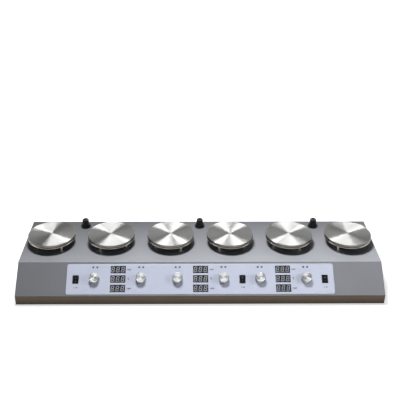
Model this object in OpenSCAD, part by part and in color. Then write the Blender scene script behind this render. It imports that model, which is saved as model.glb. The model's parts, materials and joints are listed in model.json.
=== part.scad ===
// Six-place hotplate stirrer: a long sheet-metal case with six heated plates on its deck, a sloped
// control panel with displays, knobs and rocker switches, and three clamp sockets for support rods.
// X runs along the case, the front faces -Y, and Z = 0 is the bench under the feet.

/* [Case] */
// Thickness of the folded sheet
sheet_t = 1.5; // [1:0.1:2]
// Height of the pan's walls, seen as the band along the front
band_h = 25.4; // [20:0.1:40]
// Slope of the control front from the horizontal, in degrees
slope_angle = 37.6; // [25:0.1:45]
// Outside radius of the cover's folds
fold_r = 3; // [2.5:0.1:6]
// Case end to the edge of the outermost plate
end_margin = 13.25; // [6:0.25:40]
// Front fold of the deck to the plates' front edge
front_margin = 20.5; // [10:0.5:60]
// Plates' rear edge to the rear wall
rear_margin = 58.5; // [52:0.5:120]
// How far the cover's skirt laps down inside the pan
skirt_h = 12; // [10:0.5:16]
// How far the skirt's joint to the cover rises above the pan's rim
skirt_rise = 3; // [2:0.5:4]
// Space between the skirt and the pan's walls
lap_gap = 0.2; // [0.1:0.05:0.5]

/* [Vents] */
// Width of a ventilation slot
vent_w = 3; // [2:0.5:5]
// Height of the slots in the rear wall
vent_h = 24; // [10:1:34]
// Length of the slots in the pan's floor
floor_vent_l = 60; // [20:1:80]
// Metal left between neighbouring slots
vent_bridge = 5; // [3:0.5:10]
// Number of slots in each row
vent_count = 7; // [3:1:9]

/* [Feet] */
// Height of the rubber feet
foot_h = 8; // [7:0.5:20]
// Diameter of a foot where it meets the pan
foot_d = 22; // [18:1:30]
// How much smaller a foot's radius is at the bench
foot_taper = 1.5; // [0.5:0.25:3]
// Rubber between the screw's head and the pan
foot_web = 3.5; // [2.5:0.25:4]
// Distance of the feet from the case's ends
foot_end_inset = 45; // [20:1:80]
// Distance of the feet from the front and the rear
foot_side_inset = 35; // [28:1:60]

/* [Control panel] */
// Thickness of the silver fascia
panel_t = 1; // [0.6:0.1:1.6]
// Corner radius of the fascia
panel_corner_r = 5; // [2:0.5:10]
// Offset of the fascia's middle from the case's middle
panel_shift = -0.5; // [-10:0.5:10]
// Bare slope below the fascia
panel_low_gap = 3.9; // [1:0.1:8]
// Bare slope above the fascia
panel_high_gap = 6; // [4:0.1:12]
// Fascia above the top display and below the bottom one
panel_edge = 5.45; // [4:0.05:15]
// Fascia outside the outermost switches
panel_end = 22.7; // [10:0.1:40]
// Spacing of the three control groups
group_pitch = 207; // [190:0.5:240]
// Knobs to the middle of their group
knob_offset = 57.7; // [50:0.1:70]
// Switch to the middle of its group
rocker_offset = 105; // [95:0.5:110]
// How far the knobs and switches sit below the fascia's mid-line
control_drop = 1.3; // [0:0.1:4]

/* [Displays] */
// Width of a three-digit display module
display_w = 37.6; // [30:0.1:45]
// Height of a display module
display_h = 19; // [14:0.1:24]
// Depth of a display module
display_t = 8; // [6.5:0.1:12]
// Gap between the modules of a bank
display_gap = 5.5; // [3:0.1:10]
// How far a module's face lies below the fascia
display_recess = 0.1; // [0:0.05:0.5]

/* [Knobs and potentiometers] */
// Diameter of a knob at its foot
knob_d = 25.5; // [18:0.5:30]
// Height of a knob
knob_h = 18.5; // [14:0.5:24]
// How much smaller a knob's radius is at its face
knob_taper = 0.4; // [0:0.1:2]
// Chamfer round a knob's face
knob_chamfer = 0.8; // [0.3:0.1:1.5]
// Width of the turned rim round a knob's dished face
knob_rim = 1.6; // [1:0.1:3]
// Depth of the dish in a knob's face
knob_dish = 0.4; // [0.2:0.1:0.8]
// Metal between the spindle's end and the face
knob_cap = 3; // [2:0.25:4]
// Space between a knob and the fascia
knob_lift = 0.6; // [0.4:0.1:2]
// Width of the pointer notch in a knob's rim
pointer_w = 1; // [0.6:0.1:2]
// Diameter of a potentiometer's spindle
spindle_d = 6; // [4:0.25:6.5]
// Diameter of the threaded bushing
bushing_d = 9; // [8:0.25:10]
// Diameter of a potentiometer's body
pot_d = 17; // [14:0.5:24]
// Depth of a potentiometer's body
pot_t = 10; // [8:0.5:14]
// Width of the bushing's nut across its flats
pot_nut_flats = 12; // [11:0.5:13]
// Thickness of the bushing's nut
pot_nut_t = 2; // [1.5:0.25:3]

/* [Rocker switches] */
// Width of a switch's bezel
bezel_w = 15; // [13:0.5:20]
// Length of a switch's bezel up the slope
bezel_l = 21; // [19:0.5:30]
// Thickness of the bezel
bezel_t = 1.6; // [1.2:0.1:2.4]
// How far the bezel overlaps the fascia
bezel_lip = 1.05; // [0.6:0.05:1.5]
// Wall of a switch's body
switch_wall = 1.1; // [0.8:0.1:1.6]
// Space between a rocker and the walls
rocker_gap = 0.35; // [0.3:0.05:0.6]
// Depth of the rocker's pivot below the bezel's face
pivot_depth = 3.8; // [3.4:0.1:5]
// Full tip of a rocker from off to on, in degrees
rocker_throw = 24; // [16:1:28]
// Diameter of the rocker's trunnions
trunnion_d = 2.4; // [1.8:0.1:3]
// Length of the solder blades
blade_l = 7; // [4:0.5:10]

/* [Hotplates] */
// Diameter of a plate
plate_d = 121; // [112:1:150]
// Space between neighbouring plates
plate_gap = 33.5; // [28:0.5:60]
// Thickness of a plate's top disc
plate_t = 6.2; // [5:0.1:10]
// Chamfer round a plate's top
plate_chamfer = 0.8; // [0.3:0.1:2]
// Height of the dark groove below the disc
groove_h = 1.2; // [0.6:0.1:3]
// Depth of the groove
groove_depth = 2; // [0.5:0.1:4]
// Thickness of the heater tray
tray_t = 3.6; // [3:0.1:6]
// How far the tray's lip stands out past the plate
tray_lip = 0.4; // [0:0.1:2]
// Floor of the tray under the heater
tray_floor = 1.4; // [1:0.1:2]
// Heater element to the plate's edge
heater_edge = 14.5; // [13:0.5:30]
// Space round the heater element in its tray
heater_gap = 0.5; // [0.3:0.1:1]
// Height of the tray above the deck
plate_rise = 23.5; // [18.5:0.5:40]
// Standoffs to the plate's edge
stud_inset = 21; // [19:0.5:24]
// Turn of the front standoff from straight ahead, in degrees
stud_turn = 43; // [0:1:60]
// Diameter of a standoff's column
column_d = 6.5; // [6:0.25:9]
// Diameter of a standoff's threaded ends
stud_d = 5; // [4:0.25:5.5]
// How far a standoff screws into the plate's disc
stud_bite = 3; // [2:0.25:4]
// Width of a standoff's nut across its flats
stud_nut_flats = 8; // [7.5:0.25:10]
// Thickness of a standoff's nut
stud_nut_t = 4; // [3:0.25:5]

/* [Stirring drive] */
// Diameter of the magnet holder
rotor_d = 54; // [46:1:58]
// Thickness of the magnet holder
rotor_t = 10; // [7:0.5:11]
// Space between the holder and the tray above it
rotor_clear = 4; // [2:0.5:5]
// Space round the holder in the deck's hole
rotor_gap = 4; // [2:0.5:6]
// Diameter of the two magnets
magnet_d = 16; // [10:0.5:18]
// Thickness of the two magnets
magnet_t = 6; // [3:0.5:6.5]
// Distance between the magnets' middles
magnet_pitch = 30; // [22:0.5:32]
// Diameter of the drive spindle
drive_d = 6; // [4:0.25:8]
// Length of the spindle inside the motor
drive_bite = 24; // [15:1:30]
// Diameter of the motor's can
motor_d = 50; // [46:1:60]
// Height of the motor's can
motor_h = 42; // [34:1:46]
// Diameter of the boss that centres the motor
motor_boss_d = 20; // [14:0.5:22]
// Diameter of the circle of motor screws
motor_screw_circle_d = 34; // [32:0.5:38]
// Thickness of the plate that the motor hangs from
motor_plate_t = 2; // [1.5:0.1:3]
// Metal of the motor plate outside the standoffs
motor_plate_edge = 7; // [6:0.5:10]

/* [Rod sockets] */
// Bore for a support rod
rod_bore_d = 8.2; // [6:0.1:8.5]
// Depth of the bore below the neck's top
rod_bore_depth = 34; // [25:1:40]
// Spacing of the sockets along the case
socket_pitch = 312; // [296:1:322]
// Sockets to the rear wall
socket_rear_inset = 27.5; // [25:0.5:44]
// Diameter of a socket's base
socket_base_d = 27.5; // [25:0.5:34]
// Height of a socket's base
socket_base_h = 4; // [2:0.5:8]
// Diameter of the socket where its cap begins
socket_waist_d = 22; // [18.5:0.5:23]
// Height of the tapered shoulder below the cap
socket_shoulder_h = 4; // [3:0.5:8]
// Diameter of the neck inside the cap
socket_neck_d = 12; // [11:0.25:13]
// Height of the neck inside the cap
socket_neck_h = 11; // [8:0.5:16]
// Diameter of the cap's top
cap_top_d = 17; // [15.5:0.25:18]
// Height of the cap's straight top
cap_top_h = 7; // [4:0.5:8]
// Whole height of the cap
cap_h = 14.7; // [14:0.1:22]
// Chamfer round the cap's top
cap_chamfer = 1.4; // [0.5:0.1:2]
// Space below the cap
cap_lift = 0.3; // [0.2:0.05:0.6]
// Number of grip flutes round the cap
flute_count = 8; // [4:1:12]
// Depth of a grip flute
flute_depth = 0.7; // [0.3:0.1:1]
// Width of a socket's nut across its flats
socket_nut_flats = 19; // [17:0.5:24]
// Thickness of a socket's nut
socket_nut_t = 5; // [4:0.5:8]
// Metal below the bore's end
socket_end_t = 3; // [2:0.5:6]

/* [Power inlet] */
// Width of the inlet's flange
inlet_flange_w = 50; // [48:0.5:60]
// Height of the inlet's flange
inlet_flange_h = 24; // [22:0.5:30]
// Thickness of the inlet's flange
inlet_flange_t = 2.6; // [2:0.1:3]
// Distance between the inlet's screws
inlet_screw_pitch = 40; // [38:0.5:42]
// Width of the mouth
inlet_mouth_w = 24; // [22:0.25:26]
// Height of the mouth
inlet_mouth_h = 16.4; // [14:0.1:18]
// Depth of the mouth
inlet_mouth_depth = 16; // [14:0.5:20]
// Wall round the mouth
inlet_wall = 1.6; // [1.2:0.1:2]
// Cut corners of the mouth
inlet_chamfer = 4; // [2:0.25:5]
// Depth of the pins' tips below the face
pin_recess = 5; // [4.5:0.25:7]
// Spacing of the pins
pin_pitch = 7; // [6:0.25:8]

/* [Boards and transformer] */
// Thickness of the circuit boards
board_t = 1.6; // [1:0.1:2.4]
// Display board outside its modules, left and right
display_board_side = 8; // [7.5:0.25:12]
// Display board above and below its modules
display_board_end = 3; // [0:0.25:4]
// Width of the control board
control_board_w = 300; // [200:5:320]
// Depth of the control board
control_board_d = 46; // [40:1:50]
// Middle of the control board from the case's middle
control_board_x = -110; // [-140:5:-100]
// Height of the control board above the pan's floor
control_board_rise = 8; // [6:0.5:15]
// Rear edges of the board and the transformer to the rear wall
rear_bay_gap = 12; // [8:0.5:16]
// Diameter of a board spacer
spacer_d = 5.5; // [5:0.25:6]
// Width of the transformer's core
core_w = 66; // [50:1:80]
// Depth of the transformer's core
core_d = 26; // [20:1:32]
// Height of the transformer's core
core_h = 48; // [40:1:54]
// How far the coil stands out of the core
coil_bulge = 9; // [5:0.5:10]
// Thickness of the transformer's feet
core_foot_t = 2; // [1.5:0.1:3]
// Length of the transformer's feet
core_foot_l = 14; // [11:0.5:20]
// Middle of the transformer from the case's middle
transformer_x = 232; // [200:1:260]

/* [Fasteners] */
// Diameter of the small screws
m3_d = 3; // [2.5:0.1:3.2]
// Length of the small screws under the head
m3_l = 5; // [4.4:0.1:6]
// Diameter of the small screws' heads
m3_head_d = 5.5; // [5:0.1:6]
// Height of the small screws' heads
m3_head_h = 2; // [1.2:0.1:2.5]
// Diameter of the large screws
m4_d = 4; // [3.5:0.1:4.5]
// Length of the large screws under the head
m4_l = 8; // [6:0.5:9]
// Diameter of the large screws' heads
m4_head_d = 7; // [6:0.25:8]
// Height of the large screws' heads
m4_head_h = 2.2; // [1.5:0.1:2.6]
// Radial space of shafts in bearings and screws in holes
fit_gap = 0.05; // [0.02:0.01:0.1]
// Space round parts that drop into a cut-out
slip_gap = 0.2; // [0.1:0.05:0.4]

/* [Hidden] */
$fn = 64;
place_count = 6;
stud_count = 3;
SIDES = ["left", "centre", "right"];

// Cutting tools reach this far past the surface that they cut
over = 1;
fold_steps = 6;

// Case, measured from its front wall and its underside
display_pitch = display_h + display_gap;
panel_h = 2 * display_pitch + display_h + 2 * panel_edge;
panel_w = 2 * (group_pitch + rocker_offset + panel_end);
panel_mid = panel_low_gap + panel_h / 2;
control_mid = panel_mid - control_drop;
slope_l = panel_low_gap + panel_h + panel_high_gap;
slope_run = slope_l * cos(slope_angle);
case_h = band_h + slope_l * sin(slope_angle);
plate_pitch = plate_d + plate_gap;
plate_y = slope_run + front_margin + plate_d / 2;
case_w = (place_count - 1) * plate_pitch + plate_d + 2 * end_margin;
case_d = plate_y + plate_d / 2 + rear_margin;
rear_overhang = max(inlet_flange_t + m3_head_h, m4_head_h);
front_y = -(case_d + rear_overhang) / 2;
skirt_inset = sheet_t + lap_gap;

// Panel controls, measured out of the slope's face
display_back = display_t - panel_t + display_recess;
bezel_top = panel_t + bezel_t;
switch_w = bezel_w - 2 * bezel_lip;
switch_l = bezel_l - 2 * bezel_lip;
well_w = switch_w - 2 * switch_wall;
well_l = switch_l - 2 * switch_wall;
pivot_z = bezel_top - pivot_depth;
rocker_r = well_l / 2 - rocker_gap;
well_floor_z = pivot_z - rocker_r - rocker_gap;
switch_floor_z = well_floor_z - switch_wall;
valley_drop = 0.2;
rocker_valley = pivot_depth - valley_drop;
rocker_dip_angle = 8;
rocker_keel = 4.4;
blade_w = 4.8;
blade_t = 0.8;
blade_pitch = 8;
knob_z = panel_t + knob_lift;
thread_end = 1;
bushing_top = panel_t + pot_nut_t + thread_end;
turning_gap = 0.6;
knob_recess = bushing_top - knob_z + turning_gap;
knob_recess_d = pot_nut_flats / cos(30) + 2 * turning_gap;
spindle_end_gap = 0.3;
spindle_top = knob_z + knob_h - knob_cap - spindle_end_gap;
pot_end_t = 2;
spindle_bottom = -sheet_t - pot_t + pot_end_t;
pointer_l = 3.5;
lug_w = 2;
lug_pitch = 4;
lug_t = 0.8;
lug_l = 6;

// Heated places, measured up from the deck
hot_z = plate_rise + tray_t;
stud_r = plate_d / 2 - stud_inset;
heater_r = plate_d / 2 - heater_edge;
tray_r = plate_d / 2 + tray_lip;
deck_hole_r = rotor_d / 2 + rotor_gap;
motor_plate_z = -sheet_t - motor_plate_t;
motor_plate_r = stud_r + motor_plate_edge;
stud_low_z = motor_plate_z - stud_nut_t - thread_end;
rotor_top_z = plate_rise - rotor_clear;
motor_cap_h = 3;

// Rod sockets, measured up from the deck
base_step = 1;
waist_z = socket_base_h + socket_shoulder_h;
neck_top_z = waist_z + socket_neck_h;
socket_low_z = neck_top_z - rod_bore_depth - socket_end_t;
cap_bore_d = rod_bore_d + 2 * slip_gap;

inlet_z = (band_h + skirt_rise + case_h) / 2;
inlet_body_w = inlet_mouth_w + 2 * inlet_wall;
inlet_body_h = inlet_mouth_h + 2 * inlet_wall;
pin_w = 4;
pin_t = 2;

// Space round a screw's head in a foot's recess
driver_room = 1;

rear_bay_y = case_d - sheet_t - rear_bay_gap;
control_board_y = rear_bay_y - control_board_d / 2;
transformer_y = rear_bay_y - core_d / 2 - coil_bulge;
board_hole_inset = 3.5;
thread_depth = m3_l - board_t + slip_gap;
spacer_h = display_back - sheet_t;

function place_x(i) = (i - (place_count + 1) / 2) * plate_pitch;
function place_side(i) = i % 2 == 1 ? 1 : -1;
function stud_angle(i, k) = -90 + place_side(i) * (stud_turn + 360 * k / stud_count);
function group_x(g) = panel_shift + g * group_pitch;
function knob_x(i) = group_x(ceil(i / 2) - 2) + (i % 2 == 1 ? -1 : 1) * knob_offset;
function rocker_x(g) = group_x(g) + (g < 0 ? -1 : 1) * rocker_offset;

// Points of a fold's arc from one direction to another
function arc(middle, r, from, to) =
    [for (k = [0:fold_steps]) let (a = from + (to - from) * k / fold_steps) middle + r * [cos(a), sin(a)]];

// Middles of the two folds of the cover
front_fold = [slope_run + fold_r * tan(slope_angle / 2), case_h - fold_r];
rear_fold = [case_d - fold_r, case_h - fold_r];

// Side outline of the cover, drawn in from its outside by some thickness
function cover_outline(inset, foot_z) = concat(
    [[inset / sin(slope_angle), foot_z], [inset / sin(slope_angle), band_h]],
    arc(front_fold, fold_r - inset, 90 + slope_angle, 90),
    arc(rear_fold, fold_r - inset, 90, 0),
    [[case_d - inset, foot_z]]
);

// Places

module in_case() {
    translate([0, front_y, foot_h]) children();
}

// Upright on the slope, s up from its lower edge
module on_slope(x, s) {
    in_case() translate([x, s * cos(slope_angle), band_h + s * sin(slope_angle)])
        rotate([slope_angle, 0, 0]) children();
}

module at_place(i) {
    in_case() translate([place_x(i), plate_y, case_h]) children();
}

module at_studs(i) {
    for (k = [1:stud_count]) rotate(stud_angle(i, k)) translate([stud_r, 0, 0]) children();
}

// Midway between the standoffs
module at_motor_screws(i) {
    for (k = [1:stud_count])
        rotate(stud_angle(i, k + 0.5)) translate([motor_screw_circle_d / 2, 0, 0]) children();
}

module at_magnets() {
    for (side = [-1, 1]) translate([side * magnet_pitch / 2, 0, 0]) children();
}

// Behind the gap between the plates of a pair
module at_socket(g) {
    in_case() translate([g * socket_pitch, case_d - socket_rear_inset, case_h]) children();
}

module at_feet() {
    for (x = [-1:1], y = [foot_side_inset, case_d - foot_side_inset])
        in_case() translate([x * (case_w / 2 - foot_end_inset), y, 0]) children();
}

// On the outside of the pan's end and rear walls, facing out
module at_cover_screws() {
    screw_z = band_h - skirt_h / 2;
    in_case() {
        for (side = [-1, 1], k = [1:3])
            translate([side * case_w / 2, case_d * k / 4, screw_z]) rotate([0, side * 90, 0]) children();
        for (x = [-1.5:1.5])
            translate([x * case_w / 4, case_d, screw_z]) rotate([-90, 0, 0]) children();
    }
}

// On the rear wall behind the last place, facing out
module at_inlet() {
    in_case() translate([place_x(place_count), case_d, inlet_z]) rotate([90, 0, 180]) children();
}

module at_inlet_screws() {
    at_inlet() for (side = [-1, 1]) translate([side * inlet_screw_pitch / 2, 0, inlet_flange_t]) children();
}

// On the cover's inner face behind each display bank, facing in
module at_display_spacers() {
    x = display_w / 2 + display_board_side - board_hole_inset;
    y = display_pitch + display_h / 2 + display_board_end - board_hole_inset;
    for (g = [-1:1], sx = [-1, 1], sy = [-1, 1])
        on_slope(group_x(g) + sx * x, panel_mid + sy * y)
            translate([0, 0, -sheet_t]) rotate([180, 0, 0]) children();
}

module at_control_spacers() {
    x = control_board_w / 2 - board_hole_inset;
    y = control_board_d / 2 - board_hole_inset;
    in_case() for (sx = [-1:1], sy = [-1, 1])
        translate([control_board_x + sx * x, control_board_y + sy * y, sheet_t]) children();
}

module at_transformer_screws() {
    x = core_w / 2 + core_foot_l / 2;
    in_case() for (side = [-1, 1])
        translate([transformer_x + side * x, transformer_y, sheet_t + core_foot_t]) children();
}

// Repeated shapes

module screw(d, l, head_d, head_h) {
    slot_w = 0.16 * head_d;
    slot_l = 0.6 * head_d;
    slot_depth = 0.6 * head_h;
    bevel = 0.3 * head_h;
    difference() {
        union() {
            translate([0, 0, -l]) cylinder(d = d, h = l);
            cylinder(d = head_d, h = head_h - bevel);
            translate([0, 0, head_h - bevel]) cylinder(d1 = head_d, d2 = head_d - 2 * bevel, h = bevel);
        }
        for (turn = [0, 90]) rotate(turn)
            centred_box([slot_l, slot_w, slot_depth + over], head_h - slot_depth);
    }
}

module m3_screw() {
    screw(m3_d, m3_l, m3_head_d, m3_head_h);
}

module m4_screw() {
    screw(m4_d, m4_l, m4_head_d, m4_head_h);
}

// A hole through what lies under a screw's head
module screw_hole(d, depth) {
    translate([0, 0, -depth]) cylinder(r = d / 2 + fit_gap, h = depth + over);
}

module hex_nut(flats, bore_d, h) {
    difference() {
        cylinder(r = flats / 2 / cos(30), h = h, $fn = 6);
        translate([0, 0, -over]) cylinder(r = bore_d / 2 + fit_gap, h = h + 2 * over);
    }
}

module spacer(h) {
    difference() {
        cylinder(d = spacer_d, h = h);
        translate([0, 0, h]) screw_hole(m3_d, thread_depth);
    }
}

module centred_box(size, z) {
    translate([-size[0] / 2, -size[1] / 2, z]) cube(size);
}

module rounded_rect(w, h, r) {
    square([w - 2 * r, h], center = true);
    square([w, h - 2 * r], center = true);
    for (x = [-1, 1], y = [-1, 1]) translate([x * (w / 2 - r), y * (h / 2 - r)]) circle(r);
}

// Upright wall round the case, some way in from its outside
module wall_ring(inset, wall, low, high) {
    outer = [case_w - 2 * inset, case_d - 2 * inset];
    inner = outer - [2 * wall, 2 * wall];
    translate([0, case_d / 2, low]) linear_extrude(high - low) difference() {
        square(outer, center = true);
        square(inner, center = true);
    }
}

module along_case(length) {
    translate([-length / 2, 0, 0]) rotate([90, 0, 90]) linear_extrude(length) children();
}

module vent_row(length) {
    for (k = [0:vent_count - 1])
        translate([(k - (vent_count - 1) / 2) * (vent_w + vent_bridge), 0])
            square([vent_w, length], center = true);
}

// Cut-outs for the displays, switches and knobs, drawn about the fascia's mid-line
module control_cutouts() {
    for (g = [-1:1]) {
        for (row = [-1:1]) translate([group_x(g), row * display_pitch])
            square([display_w + 2 * slip_gap, display_h + 2 * slip_gap], center = true);
        translate([rocker_x(g), -control_drop])
            square([switch_w + 2 * slip_gap, switch_l + 2 * slip_gap], center = true);
    }
    for (i = [1:place_count]) translate([knob_x(i), -control_drop]) circle(r = bushing_d / 2 + fit_gap);
}

// Case

module case_cover() {
    color([0.62, 0.63, 0.64]) difference() {
        in_case() {
            difference() {
                along_case(case_w) polygon(cover_outline(0, band_h));
                along_case(case_w - 2 * sheet_t) polygon(cover_outline(sheet_t, band_h - over));
            }
            wall_ring(skirt_inset, sheet_t, band_h - skirt_h, band_h);
            intersection() {
                wall_ring(sheet_t, sheet_t + lap_gap, band_h, band_h + skirt_rise);
                along_case(case_w) polygon(cover_outline(0, band_h));
            }
        }
        cover_cuts();
    }
}

module cover_cuts() {
    on_slope(0, panel_mid) translate([0, 0, -2 * sheet_t]) linear_extrude(3 * sheet_t) control_cutouts();
    for (i = [1:place_count]) at_place(i) {
        translate([0, 0, -2 * sheet_t]) cylinder(r = deck_hole_r, h = 3 * sheet_t);
        at_studs(i) screw_hole(stud_d, 2 * sheet_t);
    }
    for (g = [-1:1]) at_socket(g) screw_hole(socket_neck_d, 2 * sheet_t);
    at_cover_screws() screw_hole(m4_d, m4_l);
    at_inlet() translate([0, 0, -2 * sheet_t]) linear_extrude(3 * sheet_t)
        square([inlet_body_w + 2 * slip_gap, inlet_body_h + 2 * slip_gap], center = true);
    at_inlet_screws() screw_hole(m3_d, inlet_flange_t + 2 * sheet_t);
    in_case() for (i = [1:place_count - 1])
        translate([place_x(i), case_d + sheet_t, inlet_z]) rotate([90, 0, 0])
            linear_extrude(3 * sheet_t) vent_row(vent_h);
}

module base_pan() {
    color([0.29, 0.27, 0.26]) difference() {
        in_case() {
            wall_ring(0, sheet_t, 0, band_h);
            translate([-case_w / 2, 0, 0]) cube([case_w, case_d, sheet_t]);
        }
        at_cover_screws() screw_hole(m4_d, m4_l);
        at_feet() translate([0, 0, -over]) cylinder(r = m4_d / 2 + fit_gap, h = sheet_t + 2 * over);
        at_transformer_screws() screw_hole(m4_d, m4_l);
        in_case() for (i = [1:place_count])
            translate([place_x(i), plate_y, -over])
                linear_extrude(sheet_t + 2 * over) vent_row(floor_vent_l);
    }
}

module rubber_feet() {
    color([0.07, 0.07, 0.07]) at_feet() difference() {
        translate([0, 0, -foot_h]) cylinder(d1 = foot_d - 2 * foot_taper, d2 = foot_d, h = foot_h);
        translate([0, 0, -foot_h - over])
            cylinder(r = m4_head_d / 2 + driver_room, h = foot_h - foot_web + over);
        screw_hole(m4_d, foot_h);
    }
}

module m4_screws() {
    color([0.72, 0.72, 0.7]) {
        at_cover_screws() m4_screw();
        at_feet() translate([0, 0, -foot_web]) rotate([180, 0, 0]) m4_screw();
        at_transformer_screws() m4_screw();
    }
}

module m3_screws() {
    color([0.72, 0.72, 0.7]) {
        for (i = [1:place_count]) at_place(i) at_motor_screws(i) translate([0, 0, -sheet_t]) m3_screw();
        at_inlet_screws() m3_screw();
        at_display_spacers() translate([0, 0, spacer_h + board_t]) m3_screw();
        at_control_spacers() translate([0, 0, control_board_rise + board_t]) m3_screw();
    }
}

// Control panel

module control_panel() {
    color([0.8, 0.82, 0.86]) on_slope(0, panel_mid) linear_extrude(panel_t) difference() {
        translate([panel_shift, 0]) rounded_rect(panel_w, panel_h, panel_corner_r);
        control_cutouts();
    }
}

module display_bank(g) {
    color([0.25, 0.25, 0.27]) for (row = [-1:1])
        on_slope(group_x(g), panel_mid + row * display_pitch)
            centred_box([display_w, display_h, display_t], -display_back);
}

module display_boards() {
    w = display_w + 2 * display_board_side;
    h = 2 * display_pitch + display_h + 2 * display_board_end;
    color([0.1, 0.35, 0.2]) difference() {
        for (g = [-1:1]) on_slope(group_x(g), panel_mid)
            centred_box([w, h, board_t], -display_back - board_t);
        at_display_spacers() translate([0, 0, spacer_h + board_t]) screw_hole(m3_d, m3_l);
    }
}

module board_spacers() {
    color([0.75, 0.65, 0.35]) {
        at_display_spacers() spacer(spacer_h);
        at_control_spacers() spacer(control_board_rise);
    }
}

module switch_bodies() {
    color([0.06, 0.06, 0.06]) for (g = [-1:1]) on_slope(rocker_x(g), control_mid) difference() {
        union() {
            centred_box([bezel_w, bezel_l, bezel_t], panel_t);
            centred_box([switch_w, switch_l, panel_t - switch_floor_z], switch_floor_z);
            for (y = [-1, 1]) translate([0, y * blade_pitch / 2, 0])
                centred_box([blade_w, blade_t, blade_l], switch_floor_z - blade_l);
        }
        centred_box([well_w, well_l, bezel_top - well_floor_z + over], well_floor_z);
        translate([-bezel_w / 2, 0, pivot_z]) rotate([0, 90, 0])
            cylinder(r = trunnion_d / 2 + fit_gap, h = bezel_w);
    }
}

// Tipped so that its upper end stands up, which is off
module switch_rocker(g) {
    w = well_w - 2 * rocker_gap;
    rise = rocker_r * tan(rocker_dip_angle);
    pin_l = switch_w - switch_wall;
    color([0.05, 0.05, 0.05]) on_slope(rocker_x(g), control_mid)
        translate([0, 0, pivot_z]) rotate([rocker_throw / 2, 0, 0]) {
            intersection() {
                translate([-w / 2, 0, 0]) rotate([0, 90, 0]) cylinder(r = rocker_r, h = w);
                along_case(w) polygon([
                    [-rocker_r, -rocker_keel],
                    [rocker_r, -rocker_keel],
                    [rocker_r, rocker_valley + rise],
                    [0, rocker_valley],
                    [-rocker_r, rocker_valley + rise]
                ]);
            }
            translate([-pin_l / 2, 0, 0]) rotate([0, 90, 0]) cylinder(d = trunnion_d, h = pin_l);
        }
}

module potentiometers() {
    color([0.55, 0.55, 0.5]) for (i = [1:place_count]) on_slope(knob_x(i), control_mid) difference() {
        union() {
            translate([0, 0, -sheet_t - pot_t]) cylinder(d = pot_d, h = pot_t);
            translate([0, 0, -sheet_t - over]) cylinder(d = bushing_d, h = bushing_top + sheet_t + over);
            for (x = [-1:1]) translate([x * lug_pitch, -pot_d / 2 - lug_l / 2 + over, 0])
                centred_box([lug_w, lug_l, lug_t], -sheet_t - pot_t);
        }
        translate([0, 0, spindle_bottom - spindle_end_gap])
            cylinder(r = spindle_d / 2 + fit_gap, h = bushing_top - spindle_bottom + over);
    }
}

module potentiometer_nuts() {
    color([0.75, 0.75, 0.72]) for (i = [1:place_count]) on_slope(knob_x(i), control_mid)
        translate([0, 0, panel_t]) hex_nut(pot_nut_flats, bushing_d, pot_nut_t);
}

module pot_spindle(i) {
    color([0.7, 0.7, 0.68]) on_slope(knob_x(i), control_mid)
        translate([0, 0, spindle_bottom]) cylinder(d = spindle_d, h = spindle_top - spindle_bottom);
}

module speed_knob(i) {
    foot_r = knob_d / 2;
    face_r = foot_r - knob_taper;
    dish_r = face_r - knob_chamfer - knob_rim;
    color([0.8, 0.8, 0.8]) on_slope(knob_x(i), control_mid) translate([0, 0, knob_z]) difference() {
        rotate_extrude() polygon([
            [0, 0],
            [foot_r, 0],
            [face_r, knob_h - knob_chamfer],
            [face_r - knob_chamfer, knob_h],
            [dish_r, knob_h],
            [dish_r - knob_dish, knob_h - knob_dish],
            [0, knob_h - knob_dish]
        ]);
        translate([0, 0, -over]) cylinder(d = knob_recess_d, h = knob_recess + over);
        cylinder(r = spindle_d / 2 + fit_gap, h = knob_h - knob_cap);
        translate([0, pointer_l / 2 - foot_r, 0])
            centred_box([pointer_w, pointer_l, 3 * knob_dish], knob_h - 2 * knob_dish);
    }
}

// Heated places

module hotplate(i) {
    top_r = plate_d / 2;
    land_r = top_r - groove_depth;
    top_z = groove_h + plate_t;
    color([0.78, 0.78, 0.79]) at_place(i) translate([0, 0, hot_z]) difference() {
        rotate_extrude() polygon([
            [0, 0],
            [land_r, 0],
            [land_r, groove_h],
            [top_r, groove_h],
            [top_r, top_z - plate_chamfer],
            [top_r - plate_chamfer, top_z],
            [0, top_z]
        ]);
        at_studs(i) translate([0, 0, -over])
            cylinder(r = stud_d / 2 + fit_gap, h = groove_h + stud_bite + slip_gap + over);
    }
}

module heater_trays() {
    edge_r = tray_t / 2;
    color([0.82, 0.82, 0.83]) for (i = [1:place_count]) at_place(i) difference() {
        translate([0, 0, plate_rise]) rotate_extrude() {
            square([tray_r - edge_r, tray_t]);
            translate([tray_r - edge_r, edge_r]) circle(edge_r);
        }
        translate([0, 0, plate_rise + tray_floor]) cylinder(r = heater_r + heater_gap, h = tray_t);
        at_studs(i) translate([0, 0, hot_z]) screw_hole(stud_d, tray_t + over);
    }
}

module heater_elements() {
    color([0.6, 0.5, 0.35]) for (i = [1:place_count]) at_place(i) difference() {
        translate([0, 0, plate_rise + tray_floor]) cylinder(r = heater_r, h = tray_t - tray_floor);
        at_studs(i) translate([0, 0, plate_rise]) cylinder(r = stud_d / 2 + heater_gap, h = tray_t + over);
    }
}

module plate_standoffs() {
    top_z = hot_z + groove_h + stud_bite;
    color([0.75, 0.75, 0.74]) for (i = [1:place_count]) at_place(i) at_studs(i) {
        translate([0, 0, stud_low_z]) cylinder(d = stud_d, h = top_z - stud_low_z);
        cylinder(d = column_d, h = plate_rise);
    }
}

module standoff_nuts() {
    color([0.75, 0.75, 0.72]) for (i = [1:place_count]) at_place(i) at_studs(i)
        translate([0, 0, motor_plate_z - stud_nut_t]) hex_nut(stud_nut_flats, stud_d, stud_nut_t);
}

// Stirring drive

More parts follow.
